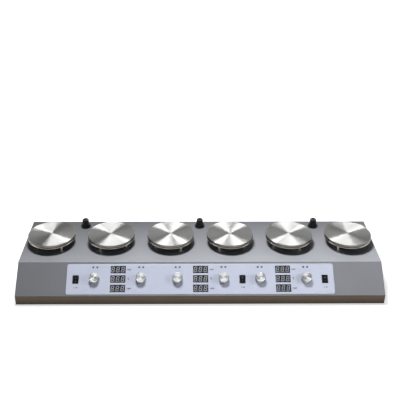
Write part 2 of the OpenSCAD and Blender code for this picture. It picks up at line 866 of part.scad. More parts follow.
module motor_plates() {
    color([0.7, 0.7, 0.72]) for (i = [1:place_count]) at_place(i) difference() {
        translate([0, 0, motor_plate_z]) cylinder(r = motor_plate_r, h = motor_plate_t);
        translate([0, 0, motor_plate_z - over])
            cylinder(r = motor_boss_d / 2 + fit_gap, h = motor_plate_t + 2 * over);
        at_studs(i) translate([0, 0, -sheet_t]) screw_hole(stud_d, motor_plate_t + over);
        at_motor_screws(i) translate([0, 0, -sheet_t]) screw_hole(m3_d, motor_plate_t + over);
    }
}

module stir_motors() {
    color([0.3, 0.31, 0.33]) for (i = [1:place_count]) at_place(i) difference() {
        translate([0, 0, motor_plate_z]) {
            translate([0, 0, -motor_h]) cylinder(d = motor_d, h = motor_h);
            translate([0, 0, -over]) cylinder(d = motor_boss_d, h = motor_plate_t + over);
            translate([0, 0, -motor_h - motor_cap_h]) cylinder(d = motor_boss_d, h = motor_cap_h + over);
        }
        translate([0, 0, -sheet_t - drive_bite - spindle_end_gap])
            cylinder(r = drive_d / 2 + fit_gap, h = drive_bite + spindle_end_gap + over);
        at_motor_screws(i) translate([0, 0, -sheet_t]) screw_hole(m3_d, m3_l + slip_gap);
    }
}

// Holder with its spindle, and two magnets let into its top
module magnet_rotor(i) {
    pocket_z = rotor_top_z - magnet_t;
    color([0.55, 0.56, 0.58]) at_place(i) {
        difference() {
            union() {
                translate([0, 0, rotor_top_z - rotor_t]) cylinder(d = rotor_d, h = rotor_t);
                translate([0, 0, -sheet_t - drive_bite])
                    cylinder(d = drive_d, h = rotor_top_z + sheet_t + drive_bite - over);
            }
            at_magnets() translate([0, 0, pocket_z - fit_gap])
                cylinder(r = magnet_d / 2 + fit_gap, h = magnet_t + over);
        }
        at_magnets() translate([0, 0, pocket_z]) cylinder(d = magnet_d, h = magnet_t);
    }
}

// Rod sockets

module rod_sockets() {
    color([0.07, 0.07, 0.08]) for (g = [-1:1]) at_socket(g) difference() {
        union() {
            cylinder(d = socket_base_d, h = socket_base_h);
            translate([0, 0, socket_base_h])
                cylinder(d1 = socket_base_d - 2 * base_step, d2 = socket_waist_d, h = socket_shoulder_h);
            translate([0, 0, socket_low_z]) cylinder(d = socket_neck_d, h = neck_top_z - socket_low_z);
        }
        translate([0, 0, neck_top_z - rod_bore_depth]) cylinder(d = rod_bore_d, h = rod_bore_depth + over);
    }
}

module socket_nuts() {
    color([0.75, 0.75, 0.72]) for (g = [-1:1]) at_socket(g)
        translate([0, 0, -sheet_t - socket_nut_t]) hex_nut(socket_nut_flats, socket_neck_d, socket_nut_t);
}

module socket_cap(g) {
    cone_h = cap_h - cap_top_h;
    top_r = cap_top_d / 2;
    flute_r = 2;
    color([0.07, 0.07, 0.08]) at_socket(g) translate([0, 0, waist_z + cap_lift]) difference() {
        rotate_extrude() polygon([
            [0, 0],
            [socket_waist_d / 2, 0],
            [top_r, cone_h],
            [top_r, cap_h - cap_chamfer],
            [top_r - cap_chamfer, cap_h],
            [0, cap_h]
        ]);
        translate([0, 0, -over]) cylinder(r = socket_neck_d / 2 + fit_gap, h = socket_neck_h + over);
        cylinder(d = cap_bore_d, h = cap_h + over);
        for (k = [1:flute_count]) rotate(360 * k / flute_count)
            translate([socket_waist_d / 2 + flute_r - flute_depth, 0, -over])
                cylinder(r = flute_r, h = cone_h);
    }
}

// Power inlet, boards and transformer

// Mouth with two cut corners, drawn in or out by some amount
module inlet_mouth(grow) {
    w = inlet_mouth_w / 2 + grow;
    h = inlet_mouth_h / 2 + grow;
    polygon([
        [-w, -h],
        [w, -h],
        [w, h - inlet_chamfer],
        [w - inlet_chamfer, h],
        [inlet_chamfer - w, h],
        [-w, h - inlet_chamfer]
    ]);
}

module power_inlet() {
    color([0.06, 0.06, 0.06]) difference() {
        at_inlet() difference() {
            union() {
                linear_extrude(inlet_flange_t)
                    rounded_rect(inlet_flange_w, inlet_flange_h, inlet_chamfer);
                translate([0, 0, inlet_flange_t - inlet_mouth_depth - inlet_wall])
                    linear_extrude(inlet_mouth_depth + inlet_wall - over) inlet_mouth(inlet_wall);
            }
            translate([0, 0, inlet_flange_t - inlet_mouth_depth])
                linear_extrude(inlet_mouth_depth + over) inlet_mouth(0);
        }
        at_inlet_screws() screw_hole(m3_d, inlet_flange_t + over);
    }
}

module inlet_pins() {
    pin_l = inlet_mouth_depth - pin_recess;
    color([0.78, 0.76, 0.7]) at_inlet() for (x = [-1:1])
        translate([x * pin_pitch, x == 0 ? pin_w / 2 : -pin_w / 2, 0])
            centred_box([pin_t, pin_w, pin_l], inlet_flange_t - inlet_mouth_depth);
}

module control_board() {
    relay_w = 19;
    relay_d = 15;
    relay_h = 15;
    relay_pitch = 28;
    relay_row_x = 14;
    capacitor_d = 16;
    capacitor_h = 24;
    capacitor_pitch = 25;
    color([0.1, 0.35, 0.2]) difference() {
        in_case() translate([control_board_x, control_board_y, sheet_t + control_board_rise]) {
            centred_box([control_board_w, control_board_d, board_t], 0);
            for (k = [1:place_count]) translate([relay_row_x + (k - place_count / 2) * relay_pitch, 0, 0])
                centred_box([relay_w, relay_d, relay_h], board_t);
            for (k = [1:3]) translate([k * capacitor_pitch - control_board_w / 2, 0, board_t])
                cylinder(d = capacitor_d, h = capacitor_h);
        }
        at_control_spacers() translate([0, 0, control_board_rise + board_t]) screw_hole(m3_d, m3_l);
    }
}

module power_transformer() {
    window_share = 0.6;
    coil_w = core_w * window_share;
    coil_h = core_h * window_share;
    color([0.45, 0.43, 0.4]) difference() {
        in_case() translate([transformer_x, transformer_y, sheet_t]) {
            centred_box([core_w, core_d, core_h], 0);
            centred_box([coil_w, core_d + 2 * coil_bulge, coil_h], (core_h - coil_h) / 2);
            centred_box([core_w + 2 * core_foot_l, core_d, core_foot_t], 0);
        }
        at_transformer_screws() screw_hole(m4_d, core_foot_t + over);
    }
}

case_cover();
base_pan();
rubber_feet();
m4_screws();
m3_screws();
control_panel();
switch_bodies();
potentiometers();
potentiometer_nuts();
display_boards();
board_spacers();
heater_trays();
heater_elements();
plate_standoffs();
standoff_nuts();
motor_plates();
stir_motors();
rod_sockets();
socket_nuts();
power_inlet();
inlet_pins();
control_board();
power_transformer();
for (k = [0:2]) {
    display_bank(k - 1);
    switch_rocker(k - 1);
    socket_cap(k - 1);
}
for (i = [1:place_count]) {
    hotplate(i);
    magnet_rotor(i);
    speed_knob(i);
    pot_spindle(i);
}
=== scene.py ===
import json
import math

import bmesh
import bpy
from mathutils import Matrix, Vector


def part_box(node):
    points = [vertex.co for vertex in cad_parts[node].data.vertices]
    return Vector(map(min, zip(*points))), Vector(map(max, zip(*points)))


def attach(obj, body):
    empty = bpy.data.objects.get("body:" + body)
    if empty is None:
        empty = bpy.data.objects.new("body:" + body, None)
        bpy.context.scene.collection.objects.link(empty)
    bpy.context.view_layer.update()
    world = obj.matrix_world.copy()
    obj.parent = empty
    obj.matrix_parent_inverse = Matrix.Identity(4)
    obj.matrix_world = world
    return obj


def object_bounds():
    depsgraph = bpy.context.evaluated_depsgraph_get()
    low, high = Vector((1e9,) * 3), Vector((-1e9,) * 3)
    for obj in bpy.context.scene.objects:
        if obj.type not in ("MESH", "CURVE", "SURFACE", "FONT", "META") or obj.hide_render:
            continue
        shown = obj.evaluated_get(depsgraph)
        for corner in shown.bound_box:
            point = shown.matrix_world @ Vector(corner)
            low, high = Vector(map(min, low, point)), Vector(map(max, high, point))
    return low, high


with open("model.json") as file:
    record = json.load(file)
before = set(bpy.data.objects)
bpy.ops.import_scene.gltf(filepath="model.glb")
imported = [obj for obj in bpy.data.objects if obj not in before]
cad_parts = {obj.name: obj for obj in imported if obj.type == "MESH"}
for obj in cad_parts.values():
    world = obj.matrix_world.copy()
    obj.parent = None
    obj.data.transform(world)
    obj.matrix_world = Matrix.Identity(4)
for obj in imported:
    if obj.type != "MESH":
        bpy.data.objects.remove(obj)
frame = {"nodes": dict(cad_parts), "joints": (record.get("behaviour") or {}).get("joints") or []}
CAD_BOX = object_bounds()
NODES = frame["nodes"]
JOINTS = {joint["name"]: joint for joint in frame["joints"]}
MM = 0.001

# Names of the nodes that repeat
SIDES = ("left", "centre", "right")
PLACES = range(1, 7)
PLATES = [f"hotplate_{place}" for place in PLACES]
KNOBS = [f"speed_knob_{place}" for place in PLACES]
SPINDLES = [f"pot_spindle_{place}" for place in PLACES]
ROTORS = [f"magnet_rotor_{place}" for place in PLACES]
BANKS = [f"display_bank_{side}" for side in SIDES]
ROCKERS = [f"switch_rocker_{side}" for side in SIDES]
CAPS = [f"socket_cap_{side}" for side in SIDES]

# Directions on the sloped front: out of the case, and up the slope
OUT = -Vector(JOINTS["knob_1_turn"]["axis"])
UP = Vector((0, OUT.z, -OUT.y))
RIGHT = Vector((1, 0, 0))


def middle(node):
    """Middle of a node's box."""
    low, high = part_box(node)
    return (low + high) / 2


def slope_size(node):
    """Length up the slope and thickness of a flat node that lies on it, from its box."""
    low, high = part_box(node)
    depth = high.y - low.y
    height = high.z - low.z
    turn = UP.y ** 2 - UP.z ** 2
    return (depth * UP.y - height * UP.z) / turn, (height * UP.y - depth * UP.z) / turn


def axes_at(place, x_axis, y_axis, z_axis):
    """Matrix that puts a flat drawing at a place, along two directions."""
    turn = Matrix((x_axis, y_axis, z_axis)).transposed()
    return Matrix.Translation(place) @ turn.to_4x4()


def on_slope(place):
    """Matrix that lays a flat drawing on the slope."""
    return axes_at(place, RIGHT, UP, OUT)


# Shader nodes

def new_material(name):
    """A material with its tree and its shader."""
    made = bpy.data.materials.new(name)
    made.use_nodes = True
    return made, made.node_tree, made.node_tree.nodes["Principled BSDF"]


def add(tree, kind, inputs=None, **settings):
    """Adds a node. Inputs are sockets to link or values to set."""
    node = tree.nodes.new(kind)
    for name, value in settings.items():
        setattr(node, name, value)
    for name, value in (inputs or {}).items():
        if isinstance(value, bpy.types.NodeSocket):
            tree.links.new(value, node.inputs[name])
        else:
            node.inputs[name].default_value = value
    return node


def put(tree, shader, **sockets):
    """Sets or links the shader's sockets, named with _ for a space."""
    for name, value in sockets.items():
        socket = shader.inputs[name.replace("_", " ")]
        if isinstance(value, bpy.types.NodeSocket):
            tree.links.new(value, socket)
        else:
            socket.default_value = value


def coords(tree):
    """Coordinates in metres that stay with the piece as it moves."""
    return add(tree, "ShaderNodeTexCoord").outputs["Object"]


def part_place(tree):
    """X, Y and Z of those coordinates."""
    return add(tree, "ShaderNodeSeparateXYZ", {"Vector": coords(tree)}).outputs


def stretched(tree, vector, scale):
    """Coordinates scaled along each axis."""
    return add(tree, "ShaderNodeMapping", {"Vector": vector, "Scale": scale}).outputs["Vector"]


def noise(tree, vector, scale, detail):
    """Cloudy value."""
    inputs = {"Vector": vector, "Scale": scale, "Detail": detail}
    return add(tree, "ShaderNodeTexNoise", inputs).outputs["Fac"]


def worked(tree, operation, first, second):
    """Result of an operation on two numbers."""
    return add(tree, "ShaderNodeMath", {0: first, 1: second}, operation=operation).outputs[0]


def spread(tree, value, low, high, start=0.3, end=0.7):
    """Maps a value from one range to another."""
    inputs = {"Value": value, "From Min": start, "From Max": end, "To Min": low, "To Max": high}
    return add(tree, "ShaderNodeMapRange", inputs).outputs["Result"]


def shades(tree, value, *stops):
    """Colour from a value, through stops of (place, colour)."""
    node = add(tree, "ShaderNodeValToRGB", {"Fac": value})
    ramp = node.color_ramp.elements
    for element, (place, colour) in zip(ramp, stops):
        element.position = place
        element.color = (*colour, 1)
    return node.outputs["Color"]


def tinted(colour, share):
    """Numbers of a colour, lighter or darker."""
    return tuple(channel * share for channel in colour)


def scaled(tree, colour, share):
    """Socket of a colour, lighter or darker."""
    return add(tree, "ShaderNodeVectorMath", {0: colour, "Scale": share}, operation="SCALE").outputs[0]


def mixed(tree, share, first, second):
    """Colour between the colours of two sockets."""
    inputs = {0: share, 6: first, 7: second}
    return add(tree, "ShaderNodeMix", inputs, data_type="RGBA").outputs[2]


def bump(tree, shader, height, distance, strength=1.0):
    """Gives the shader a relief of a height in metres."""
    inputs = {"Height": height, "Distance": distance, "Strength": strength}
    put(tree, shader, Normal=add(tree, "ShaderNodeBump", inputs).outputs["Normal"])


# Kinds of finish

# Cloudy values at which a colour is darkest and lightest
DARKEST = 0.35
LIGHTEST = 0.65


def patchy(tree, value, colour, contrast):
    """A colour that gets darker and lighter by a share, with a cloudy value."""
    dark = tinted(colour, 1 - contrast)
    light = tinted(colour, 1 + contrast)
    return shades(tree, value, (DARKEST, dark), (LIGHTEST, light))


def blotchy(name, colour, rough, contrast, patch, grain, relief, metallic=0.0):
    """Finish with broad patches of shade over a fine grain. Patch, grain and relief are sizes in metres."""
    made, tree, shader = new_material(name)
    here = coords(tree)
    broad = noise(tree, here, 1 / patch, 4)
    fine = noise(tree, here, 1 / grain, 3)
    cloud = worked(tree, "MULTIPLY", worked(tree, "ADD", broad, fine), 0.5)
    put(tree, shader, Base_Color=patchy(tree, cloud, colour, contrast), Metallic=metallic)
    put(tree, shader, Roughness=spread(tree, broad, *rough))
    bump(tree, shader, fine, relief)
    return made


def painted(made):
    """Tree, shader and colour of a finish that is already made."""
    tree = made.node_tree
    shader = tree.nodes["Principled BSDF"]
    return tree, shader, shader.inputs["Base Color"].links[0].from_socket


def painted_shade_below(made, low, high, share):
    """Paints shade into a finish towards the bench, darker from one height down to another."""
    tree, shader, unshaded = painted(made)
    level = spread(tree, part_place(tree)["Z"], 0, 1, low, high)
    put(tree, shader, Base_Color=mixed(tree, level, scaled(tree, unshaded, share), unshaded))
    return made


# Turned metal: how far below its face the painted shade on its edge starts and is full, and that shade's
# contrast
SHADE_EDGE_START = 0.4 * MM
SHADE_EDGE_FULL = 1.1 * MM
SHADE_EDGE_CONTRAST = 0.2
# The rings' share in the wear of the face, the wear at which it is dull and bright, and its dull shade
RING_SHARE = 0.35
DULL_WEAR = 0.4
BRIGHT_WEAR = 0.95
DULL_SHADE = 0.88
# Relief of the rings, and the turn that lays the highlights across them
RING_DEPTH = 0.004 * MM
RING_STRENGTH = 0.3
QUARTER_TURN = 0.25


def turned_metal(name, node, axis, half, colour, edge, rough, ring, stain, pull=1.0):
    """Metal turned on a lathe: rings about an axis that pull the highlights into rays. Half is half the
    node's thickness along the axis, and edge is the painted shade below its face."""
    made, tree, shader = new_material(name)
    here = coords(tree)
    arm = add(tree, "ShaderNodeVectorMath", {0: here, 1: middle(node)}, operation="SUBTRACT").outputs[0]
    tangent = add(tree, "ShaderNodeVectorMath", {0: axis, 1: arm}, operation="CROSS_PRODUCT").outputs[0]
    radius = add(tree, "ShaderNodeVectorMath", {0: tangent}, operation="LENGTH").outputs["Value"]
    rings = add(tree, "ShaderNodeTexNoise", {"W": radius, "Scale": 1 / ring, "Detail": 3.0},
                noise_dimensions="1D").outputs["Fac"]
    patches = noise(tree, here, 1 / stain, 3)
    wear = worked(tree, "ADD", worked(tree, "MULTIPLY", rings, RING_SHARE), patches)
    rise = add(tree, "ShaderNodeVectorMath", {0: arm, 1: axis}, operation="DOT_PRODUCT").outputs["Value"]
    face_share = spread(tree, rise, 0, 1, half - SHADE_EDGE_FULL, half - SHADE_EDGE_START)
    # Painted shade on the side below the face
    side = patchy(tree, patches, edge, SHADE_EDGE_CONTRAST)
    face = shades(tree, wear, (DULL_WEAR, tinted(colour, DULL_SHADE)), (BRIGHT_WEAR, colour))
    world_tangent = add(tree, "ShaderNodeVectorTransform", {"Vector": tangent}, vector_type="VECTOR",
                        convert_from="OBJECT", convert_to="WORLD").outputs["Vector"]
    put(tree, shader, Metallic=1.0, Anisotropic=pull, Anisotropic_Rotation=QUARTER_TURN)
    put(tree, shader, Tangent=world_tangent, Roughness=spread(tree, patches, *rough))
    put(tree, shader, Base_Color=mixed(tree, face_share, side, face))
    bump(tree, shader, rings, RING_DEPTH, RING_STRENGTH)
    return made


# Materials

def plate_steel(place):
    """Steel plate with a painted dark brown reflection on its edge."""
    node = f"hotplate_{place}"
    low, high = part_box(node)
    return turned_metal(f"plate_steel_{place}", node, (0, 0, 1), (high.z - low.z) / 2, (0.8, 0.795, 0.78),
                        (0.28, 0.26, 0.225), (0.34, 0.4), 0.35 * MM, 30 * MM)


def knob_metal(place):
    """Aluminium knob with a bright face and painted shade on its side."""
    node = f"speed_knob_{place}"
    return turned_metal(f"knob_metal_{place}", node, OUT, slope_size(node)[1] / 2, (0.72, 0.725, 0.74),
                        (0.4, 0.4, 0.41), (0.42, 0.48), 0.2 * MM, 9 * MM, pull=0.72)


# Gains of the cover's paint: on the deck from front to rear, a lighter deck tone with painted light that
# makes its front brighter, and all over from left to right, painted light from the right
DECK_TONE_AND_PAINTED_LIGHT = (1.93, 0.9)
PAINTED_LIGHT_FROM_RIGHT = (0.95, 1.66)
# How far below the deck's top its gain starts and is full
DECK_START = 0.6 * MM
DECK_FULL = 0.2 * MM


def cover_paint():
    """Grey paint, two-tone with a lighter deck. Painted light makes the deck brighter along its front than
    at its rear, and painted light from the right makes the cover lighter to the right.
    """
    made = blotchy("cover_paint", (0.172, 0.177, 0.192), (0.4, 0.5), 0.035, 70 * MM, 0.7 * MM, 0.002 * MM)
    tree, shader, plain = painted(made)
    place = part_place(tree)
    low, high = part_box("case_cover")
    plate_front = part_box("hotplate_1")[0].y
    # Painted light on the deck: brighter at its front than at its rear
    deck_tone_and_painted_light = spread(tree, place["Y"], *DECK_TONE_AND_PAINTED_LIGHT, plate_front, high.y)
    on_deck = spread(tree, place["Z"], 0, 1, high.z - DECK_START, high.z - DECK_FULL)
    two_tone_and_painted_light = add(tree, "ShaderNodeMix", {0: on_deck, 2: 1.0, 3: deck_tone_and_painted_light}).outputs[0]
    # Painted light from the right: the paint gets lighter from the left end to the right end
    along = spread(tree, place["X"], *PAINTED_LIGHT_FROM_RIGHT, low.x, high.x)
    put(tree, shader, Base_Color=scaled(tree, plain, worked(tree, "MULTIPLY", two_tone_and_painted_light, along)))
    return made


# The pan's gloss, how far below its top the painted shade starts, and how dark the painted shade is at the
# bench
PAN_GLOSS = 0.15
PAN_SHADE_TOP = 8 * MM
PAN_SHADE = 0.3


def pan_paint():
    """Brown-grey paint whose brown is a painted reflection of a wooden bench, with painted shade towards
    the bench.
    """
    made = blotchy("pan_paint", (0.08, 0.06, 0.04), (0.36, 0.5), 0.12, 90 * MM, 1.1 * MM, 0.008 * MM)
    tree, shader = painted(made)[:2]
    put(tree, shader, Specular_IOR_Level=PAN_GLOSS)
    low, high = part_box("base_pan")
    return painted_shade_below(made, low.z, high.z - PAN_SHADE_TOP, PAN_SHADE)


# The fascia's brushed grain: its size, its scale along each axis, and its gain
BRUSH_SIZE = 0.5 * MM
BRUSH_SCALE = (0.04, 1, 1)
BRUSH_GAIN = 1.08


def fascia():
    """Silver film with a fine brushed grain along the case."""
    made = blotchy("fascia", (0.41, 0.44, 0.53), (0.4, 0.5), 0.03, 30 * MM, 0.6 * MM, 0.003 * MM)
    tree, shader, plain = painted(made)
    grain = noise(tree, stretched(tree, coords(tree), BRUSH_SCALE), 1 / BRUSH_SIZE, 3)
    bright = scaled(tree, plain, BRUSH_GAIN)
    put(tree, shader, Base_Color=mixed(tree, spread(tree, grain, 0, 1), plain, bright))
    return made


def display_face():
    return blotchy("display_face", (0.02, 0.022, 0.028), (0.25, 0.35), 0.1, 12 * MM, 0.5 * MM, 0.003 * MM)


def digit_epoxy():
    return blotchy("digit_epoxy", (0.36, 0.37, 0.405), (0.4, 0.5), 0.05, 6 * MM, 0.4 * MM, 0.003 * MM)


def black_plastic():
    return blotchy("black_plastic", (0.007, 0.0078, 0.0086), (0.34, 0.5), 0.25, 8 * MM, 0.35 * MM,
                   0.006 * MM)


def socket_black():
    return blotchy("socket_black", (0.006, 0.0065, 0.007), (0.25, 0.4), 0.25, 9 * MM, 0.4 * MM, 0.005 * MM)


def rubber():
    return blotchy("rubber", (0.016, 0.016, 0.017), (0.65, 0.8), 0.2, 10 * MM, 0.5 * MM, 0.02 * MM)


def print_ink():
    return blotchy("print_ink", (0.025, 0.03, 0.05), (0.45, 0.55), 0.1, 4 * MM, 0.3 * MM, 0.002 * MM)


def white_ink():
    return blotchy("white_ink", (0.3, 0.3, 0.29), (0.45, 0.55), 0.08, 3 * MM, 0.3 * MM, 0.002 * MM)


def zinc_steel():
    return blotchy("zinc_steel", (0.62, 0.61, 0.57), (0.25, 0.42), 0.1, 5 * MM, 0.6 * MM, 0.006 * MM, 1.0)


def post_nickel():
    return blotchy("post_nickel", (0.86, 0.83, 0.76), (0.3, 0.45), 0.06, 5 * MM, 0.5 * MM, 0.004 * MM, 1.0)


# Heights above the tray's underside up to which its painted shade is full and from which there is none, and
# how dark that painted shade is
TRAY_DARK = 0.2 * MM
TRAY_UNSHADED = 0.8 * MM
TRAY_SHADE = 0.15


def tray_steel():
    """Bright steel with painted shade underneath."""
    made = blotchy("tray_steel", (0.5, 0.47, 0.42), (0.18, 0.28), 0.06, 25 * MM, 0.8 * MM, 0.004 * MM, 1.0)
    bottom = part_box("heater_trays")[0].z
    return painted_shade_below(made, bottom + TRAY_DARK, bottom + TRAY_UNSHADED, TRAY_SHADE)


def motor_can():
    return blotchy("motor_can", (0.22, 0.23, 0.25), (0.35, 0.5), 0.1, 14 * MM, 0.8 * MM, 0.008 * MM, 1.0)


def rotor_metal():
    return blotchy("rotor_metal", (0.5, 0.5, 0.52), (0.3, 0.45), 0.08, 12 * MM, 0.7 * MM, 0.006 * MM, 1.0)


def brass_metal():
    return blotchy("brass_metal", (0.6, 0.45, 0.2), (0.3, 0.45), 0.1, 8 * MM, 0.6 * MM, 0.006 * MM, 1.0)


def core_iron():
    return blotchy("core_iron", (0.16, 0.15, 0.14), (0.5, 0.65), 0.2, 15 * MM, 0.9 * MM, 0.02 * MM, 0.6)


def mica():
    return blotchy("mica", (0.32, 0.24, 0.14), (0.4, 0.55), 0.2, 16 * MM, 1.2 * MM, 0.01 * MM)


def circuit_board():
    return blotchy("circuit_board", (0.012, 0.1, 0.04), (0.35, 0.5), 0.15, 10 * MM, 0.8 * MM, 0.005 * MM)


def dress(material, *names):
    """Gives CAD nodes a material."""
    for name in names:
        slots = NODES[name].data.materials
        slots.clear()
        slots.append(material)


dress(cover_paint(), "case_cover")
dress(pan_paint(), "base_pan")
dress(fascia(), "control_panel")
dress(rubber(), "rubber_feet")
dress(zinc_steel(), "m4_screws", "m3_screws", "potentiometers", "potentiometer_nuts", "standoff_nuts",
      "socket_nuts", "motor_plates", *SPINDLES)
dress(post_nickel(), "plate_standoffs")
dress(display_face(), *BANKS)
dress(black_plastic(), "switch_bodies", "power_inlet", *ROCKERS)
dress(socket_black(), "rod_sockets", *CAPS)
dress(tray_steel(), "heater_trays")
dress(mica(), "heater_elements")
dress(motor_can(), "stir_motors")
dress(rotor_metal(), *ROTORS)
dress(brass_metal(), "board_spacers", "inlet_pins")
dress(core_iron(), "power_transformer")
dress(circuit_board(), "display_boards", "control_board")
for place in PLACES:
    dress(plate_steel(place), f"hotplate_{place}")
    dress(knob_metal(place), f"speed_knob_{place}")

# Soft edges on the fascia and the mouldings

WELD_GAP = 0.005 * MM
SOFT_EDGE = 0.25 * MM
SOFT_STEPS = 2
SOFT_ANGLE = math.radians(40)


def soften(*names):
    """Rounds the sharp edges of CAD nodes a little."""
    for name in names:
        weld = NODES[name].modifiers.new("weld", "WELD")
        weld.merge_threshold = WELD_GAP
        edge = NODES[name].modifiers.new("soft_edge", "BEVEL")
        edge.width = SOFT_EDGE
        edge.segments = SOFT_STEPS
        edge.limit_method = "ANGLE"
        edge.angle_limit = SOFT_ANGLE
        edge.harden_normals = True


soften("control_panel", "switch_bodies", "power_inlet", *ROCKERS)


# Flat pieces: prints and display digits

def flat_piece(name, body, material, thickness, shapes):
    """One piece of many flat shapes. A shape is a matrix and an outline of points."""
    mesh = bmesh.new()
    for matrix, outline in shapes:
        corners = [mesh.verts.new(matrix @ Vector((x, y, 0))) for x, y in outline]
        face = mesh.faces.new(corners)
        raised = bmesh.ops.extrude_face_region(mesh, geom=[face])["geom"]
        lift = matrix.to_3x3() @ Vector((0, 0, thickness))
        bmesh.ops.translate(mesh, vec=lift, verts=[v for v in raised if isinstance(v, bmesh.types.BMVert)])
    bmesh.ops.recalc_face_normals(mesh, faces=mesh.faces)
    data = bpy.data.meshes.new(name)
    mesh.to_mesh(data)
    mesh.free()
    data.materials.append(material)
    piece = bpy.data.objects.new(name, data)
    bpy.context.scene.collection.objects.link(piece)
    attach(piece, body)


def bar(x, y, width, height):
    """Corners of an upright rectangle about its middle."""
    return [(x - width / 2, y - height / 2), (x + width / 2, y - height / 2),
            (x + width / 2, y + height / 2), (x - width / 2, y + height / 2)]


def round_points(x, y, radius, steps):
    """Points on a circle."""
    turns = [2 * math.pi * k / steps for k in range(steps)]
    return [(x + radius * math.cos(turn), y + radius * math.sin(turn)) for turn in turns]


RING_STEPS = 24


def ring_parts(x, y, outer, inner):
    """A ring as short four-sided pieces."""
    outside = round_points(x, y, outer, RING_STEPS)
    inside = round_points(x, y, inner, RING_STEPS)
    return [[inside[k - 1], outside[k - 1], outside[k], inside[k]] for k in range(RING_STEPS)]


# Three-digit displays

ROWS = (-1, 0, 1)
COLUMNS = (-1, 0, 1)
DISPLAY_H = 19 * MM
DIGIT_H = 14.2 * MM
DIGIT_W = 8.1 * MM
DIGIT_T = 0.06 * MM
DIGIT_PITCH = 12.4 * MM
DIGIT_SLANT = math.tan(math.radians(8))
STROKE = 1.7 * MM
STROKE_GAP = 0.25 * MM
POINT_D = 1.5 * MM
POINT_STEPS = 16
# Room between a digit and its point, and how far a digit moves left for it, in strokes
POINT_ROOM = 1.6
POINT_SHIFT = 1 / 3


def row_pitch(bank):
    """Distance up the slope between the displays of a bank."""
    return (slope_size(bank)[0] - DISPLAY_H) / 2


def slanted(points):
    """Points that lean as the digits do."""
    return [(x + y * DIGIT_SLANT, y) for x, y in points]


def segment(x, y, length, upright):
    """One pointed bar of a digit."""
    half = length / 2
    point = STROKE / 2
    along = [(-half, 0), (point - half, -point), (half - point, -point), (half, 0), (half - point, point),
             (point - half, point)]
    if upright:
        along = [(-b, a) for a, b in along]
    return slanted([(x + a, y + b) for a, b in along])


def digit(x):
    """The seven bars and the point of one digit."""
    wide = DIGIT_W - STROKE
    tall = (DIGIT_H - STROKE) / 2
    parts = [segment(x, row * tall, wide - 2 * STROKE_GAP, False) for row in ROWS]
    parts += [segment(x + side * wide / 2, row * tall / 2, tall - 2 * STROKE_GAP, True)
              for side in (-1, 1) for row in (-1, 1)]
    point = round_points(x + wide / 2 + POINT_ROOM * STROKE, -tall, POINT_D / 2, POINT_STEPS)
    return parts + [slanted(point)]


DIGIT_MATERIAL = digit_epoxy()
for side, bank in zip(SIDES, BANKS):
    lift = OUT * slope_size(bank)[1] / 2
    drawn = []
    for row in ROWS:
        sheet = on_slope(middle(bank) + UP * row * row_pitch(bank) + lift)
        for column in COLUMNS:
            drawn += [(sheet, points) for points in digit(column * DIGIT_PITCH - POINT_SHIFT * STROKE)]
    flat_piece(f"display_digits_{side}", "case", DIGIT_MATERIAL, DIGIT_T, drawn)

# Prints on the fascia

PRINT_T = 0.05 * MM
FACE = middle("control_panel") + OUT * slope_size("control_panel")[1] / 2
KNOB_MARK_RISE = 30.5 * MM
KNOB_MARK_PITCH = 10 * MM
KNOB_MARK_SIZE = 4.4 * MM
SIGN_L = 2.4 * MM
SIGN_W = 0.5 * MM
SWITCH_MARK_DROP = 22 * MM
SWITCH_MARK_PITCH = 6 * MM
SWITCH_MARK_H = 3.8 * MM
SWITCH_MARK_W = 1 * MM
UNIT_GAP = 4 * MM
UNIT_STROKE = 0.85 * MM
# The units from the lowest display up
UNIT_MARKS = ("rpm", "oC", "min")

# Letters of the units as boxes of (left, bottom, right, top), in strokes. The o is the degree sign.
LETTERS = {
    "m": [(0, 0, 1, 4), (1, 3, 2, 4), (2, 0, 3, 4), (3, 3, 4, 4), (4, 0, 5, 4)],
    "i": [(0, 0, 1, 4), (0, 5, 1, 6)],
    "n": [(0, 0, 1, 4), (1, 3, 2, 4), (2, 0, 3, 4)],
    "r": [(0, 0, 1, 4), (1, 3, 2.5, 4)],
    "p": [(0, -1.5, 1, 4), (1, 3, 2, 4), (1, 0, 2, 1), (2, 0, 3, 4)],
    "C": [(0, 0, 1, 6), (1, 5, 3, 6), (1, 0, 3, 1)],
    "o": [(0, 4, 0.7, 6), (0.7, 5.3, 1.4, 6), (0.7, 4, 1.4, 4.7), (1.4, 4, 2, 6)],
}
LETTER_MID = 2.5
LETTER_GAP = 1


def on_panel(x, rise):
    """Lays a flat drawing on the fascia, at some distance up from its mid-line."""
    return on_slope(Vector((x, FACE.y, FACE.z)) + UP * rise)


# Fillings beside a knob mark's sign and at the sign's ends, and how far their middles are from the mark's
BESIDE = (KNOB_MARK_SIZE - SIGN_W) / 2
BESIDE_AT = (KNOB_MARK_SIZE - BESIDE) / 2
END = (KNOB_MARK_SIZE - SIGN_L) / 2
END_AT = (KNOB_MARK_SIZE - END) / 2


def minus_mark():
    """A filled square with a minus sign left clear."""
    parts = [bar(0, y * BESIDE_AT, KNOB_MARK_SIZE, BESIDE) for y in (-1, 1)]
    return parts + [bar(x * END_AT, 0, END, SIGN_W) for x in (-1, 1)]


def plus_mark():
    """A filled square with a plus sign left clear."""
    parts = [bar(x * BESIDE_AT, y * BESIDE_AT, BESIDE, BESIDE) for x in (-1, 1) for y in (-1, 1)]
    parts += [bar(x * END_AT, 0, END, SIGN_W) for x in (-1, 1)]
    return parts + [bar(0, y * END_AT, SIGN_W, END) for y in (-1, 1)]


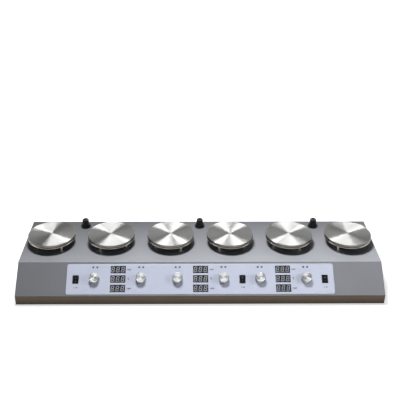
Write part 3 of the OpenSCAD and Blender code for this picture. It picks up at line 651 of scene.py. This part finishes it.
def unit_mark(word):
    """The letters of a unit side by side, from the left, about their mid-height."""
    parts = []
    start = 0
    for letter in word:
        for left, bottom, right, top in LETTERS[letter]:
            corners = [(left, bottom), (right, bottom), (right, top), (left, top)]
            parts.append([((start + x) * UNIT_STROKE, (y - LETTER_MID) * UNIT_STROKE) for x, y in corners])
        start += max(box[2] for box in LETTERS[letter]) + LETTER_GAP
    return parts


def switch_mark():
    """An I and an O side by side."""
    stroke = bar(-SWITCH_MARK_PITCH / 2, 0, SWITCH_MARK_W, SWITCH_MARK_H)
    outer = SWITCH_MARK_H / 2
    return [stroke, *ring_parts(SWITCH_MARK_PITCH / 2, 0, outer, outer - SWITCH_MARK_W)]


marks = []
for bank in BANKS:
    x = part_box(bank)[1].x + UNIT_GAP
    for row, word in zip(ROWS, UNIT_MARKS):
        marks += [(on_panel(x, row * row_pitch(bank)), points) for points in unit_mark(word)]
for place in PLACES:
    x = JOINTS[f"knob_{place}_turn"]["pos_m"][0]
    marks += [(on_panel(x - KNOB_MARK_PITCH / 2, KNOB_MARK_RISE), points) for points in minus_mark()]
    marks += [(on_panel(x + KNOB_MARK_PITCH / 2, KNOB_MARK_RISE), points) for points in plus_mark()]
for side in SIDES:
    x = JOINTS[f"rocker_{side}_tip"]["pos_m"][0]
    marks += [(on_panel(x, -SWITCH_MARK_DROP), points) for points in switch_mark()]
flat_piece("fascia_marks", "case", print_ink(), PRINT_T, marks)

# Prints on the two flats of each rocker, which dip towards its middle

ROCKER_TIP = math.radians(12)
ROCKER_DIP = math.radians(8)
ROCKER_VALLEY = 3.6 * MM
ROCKER_MARK_RISE = 4 * MM
ROCKER_MARK_H = 2.4 * MM
ROCKER_MARK_W = 0.5 * MM
ROCKER_UP = UP * math.cos(ROCKER_TIP) + OUT * math.sin(ROCKER_TIP)
ROCKER_OUT = OUT * math.cos(ROCKER_TIP) - UP * math.sin(ROCKER_TIP)


def on_flat(pivot, end):
    """Lays a flat drawing on the upper (1) or lower (-1) flat of the rocker that turns about a pivot."""
    rise = ROCKER_VALLEY + ROCKER_MARK_RISE * math.tan(ROCKER_DIP)
    along = ROCKER_UP * math.cos(ROCKER_DIP) + ROCKER_OUT * end * math.sin(ROCKER_DIP)
    out = ROCKER_OUT * math.cos(ROCKER_DIP) - ROCKER_UP * end * math.sin(ROCKER_DIP)
    return axes_at(pivot + ROCKER_UP * end * ROCKER_MARK_RISE + ROCKER_OUT * rise, RIGHT, along, out)


ROCKER_INK = white_ink()
for side in SIDES:
    pivot = Vector(JOINTS[f"rocker_{side}_tip"]["pos_m"])
    loop = ring_parts(0, 0, ROCKER_MARK_H / 2, ROCKER_MARK_H / 2 - ROCKER_MARK_W)
    prints = [(on_flat(pivot, 1), points) for points in loop]
    prints.append((on_flat(pivot, -1), bar(0, 0, ROCKER_MARK_W, ROCKER_MARK_H)))
    flat_piece(f"rocker_marks_{side}", f"rocker_{side}", ROCKER_INK, PRINT_T, prints)

# Floor and backdrop

FLOOR_HALF = 12
WALL_R = 11
WALL_H = 8
WALL_STEPS = 64
# The floor's glow near the object and far from it, and the distances between which it grows
GLOWS = (0.7, 1)
GLOW_REACH = (0.5, 1.4)


def floor_material():
    """White floor with a glow that grows away from the object."""
    made, tree, shader = new_material("pale_floor")
    here = coords(tree)
    cloud = noise(tree, here, 3, 3)
    away = add(tree, "ShaderNodeVectorMath", {0: here}, operation="LENGTH").outputs["Value"]
    put(tree, shader, Base_Color=shades(tree, cloud, (0.3, (0.88, 0.88, 0.88)), (0.7, (0.92, 0.92, 0.92))))
    put(tree, shader, Roughness=0.7, Emission_Color=(1, 1, 1, 1))
    put(tree, shader, Emission_Strength=spread(tree, away, *GLOWS, *GLOW_REACH))
    return made


def stage_piece(name, points, faces):
    """A surface of the studio."""
    mesh = bpy.data.meshes.new(name)
    mesh.from_pydata(points, [], faces)
    mesh.materials.append(PALE)
    made = bpy.data.objects.new(name, mesh)
    bpy.context.scene.collection.objects.link(made)
    return made


PALE = floor_material()
floor_points = [(x, y, 0) for x, y in bar(0, 0, 2 * FLOOR_HALF, 2 * FLOOR_HALF)]
floor = stage_piece("floor", floor_points, [(0, 1, 2, 3)])

# A round wall that the camera sees, and that neither lights a surface nor shows in one
wall_points = [(x, y, z) for z in (0, WALL_H) for x, y in round_points(0, 0, WALL_R, WALL_STEPS)]
wall_faces = [(k, (k + 1) % WALL_STEPS, (k + 1) % WALL_STEPS + WALL_STEPS, k + WALL_STEPS)
              for k in range(WALL_STEPS)]
backdrop = stage_piece("backdrop", wall_points, wall_faces)
backdrop.visible_diffuse = False
backdrop.visible_glossy = False

# Lights, with places and sizes in metres and power in watts

AIM = Vector((0, 0.02, 0.1))


def area_light(name, place, width, height, power, aim=AIM):
    """A rectangular lamp that the camera doesn't see."""
    data = bpy.data.lights.new(name, "AREA")
    data.shape = "RECTANGLE"
    data.size = width
    data.size_y = height
    data.energy = power
    lamp = bpy.data.objects.new(name, data)
    lamp.location = place
    lamp.rotation_mode = "QUATERNION"
    lamp.rotation_quaternion = (aim - Vector(place)).to_track_quat("-Z", "Y")
    lamp.visible_camera = False
    bpy.context.scene.collection.objects.link(lamp)
    return lamp


def light_only(lamp, *names):
    """Lets a lamp fall on some CAD nodes and on nothing else."""
    group = bpy.data.collections.new(lamp.name)
    for name in names:
        group.objects.link(NODES[name])
    lamp.light_linking.receiver_collection = group


# The key lamp lights paint and casts the shadows, and no surface mirrors it
KEY_PLACE = Vector((-0.11, middle("hotplate_1").y - 0.357, 1.4))
KEY_AIM = Vector((0, 0, 0.1))
KEY_SIZE = 0.25
KEY_POWER = 19
key = area_light("key", KEY_PLACE, KEY_SIZE, KEY_SIZE, KEY_POWER, aim=KEY_AIM)
key.visible_glossy = False

# A row of strips behind the object, which only show as reflections: middle, width and power of each
STRIP_Y = 0.62
STRIP_Z = 1.55
STRIP_DEPTH = 0.4
STRIPS = {
    "rear_strip": (-0.405, 0.89, 9),
    "rear_strip_right": (0.495, 0.91, 8.2),
    "rear_strip_end": (1.175, 0.45, 1.6),
}
for name, (x, width, power) in STRIPS.items():
    strip = area_light(name, (x, STRIP_Y, STRIP_Z), width, STRIP_DEPTH, power)
    strip.visible_diffuse = False

# Lamps that light the named pieces only
light_only(area_light("right_fill", (1.1, -0.7, 0.8), 0.6, 0.6, 9), "control_panel", "base_pan")
light_only(area_light("knob_card", (0, -0.2, 1.6), 1.4, 0.25, 11), *KNOBS)
light_only(area_light("plate_card", (0, 1.63, 1.25), 3, 0.8, 2.7), *PLATES)
light_only(area_light("front_card", (0, -1.9, 1), 3, 0.9, 3), *PLATES)
light_only(area_light("lip_card_left", (-1.6, -0.25, 0.55), 1, 0.5, 5), "heater_trays")
light_only(area_light("lip_card_right", (1.6, -0.25, 0.55), 1, 0.5, 5), "heater_trays")
light_only(area_light("post_card", (0, -1.5, 0.55), 2, 0.4, 18), "plate_standoffs")
light_only(area_light("cap_card", (0, 1.4, 0.95), 2, 0.25, 8), "rod_sockets", *CAPS)

# A faint light from all around
SKY_COLOUR = (0.95, 0.97, 1, 1)
SKY_STRENGTH = 0.06
world = bpy.data.worlds.new("studio")
bpy.context.scene.world = world
world.use_nodes = True
sky = world.node_tree.nodes["Background"].inputs
sky["Color"].default_value = SKY_COLOUR
sky["Strength"].default_value = SKY_STRENGTH

# Camera, with angles in radians and lens and sensor in millimetres

CAMERA_PLACE = (-0.03222, CAD_BOX[0][1] - 1.34216, 1.04846)
CAMERA_DOWN = 0.50582
CAMERA_TURN = -0.02052
CAMERA_ROLL = 0.00941
CAMERA_LENS = 60.47
CAMERA_SENSOR = 36
lens = bpy.data.cameras.new("camera")
lens.lens = CAMERA_LENS
lens.sensor_width = CAMERA_SENSOR
camera = bpy.data.objects.new("camera", lens)
camera.rotation_mode = "QUATERNION"
turn = Matrix.Rotation(CAMERA_TURN, 4, "Z")
look = turn @ Matrix.Rotation(math.pi / 2 - CAMERA_DOWN, 4, "X") @ Matrix.Rotation(CAMERA_ROLL, 4, "Z")
camera.rotation_quaternion = look.to_quaternion()
camera.location = CAMERA_PLACE
bpy.context.scene.collection.objects.link(camera)
bpy.context.scene.camera = camera
bpy.context.scene.view_settings.view_transform = "Standard"
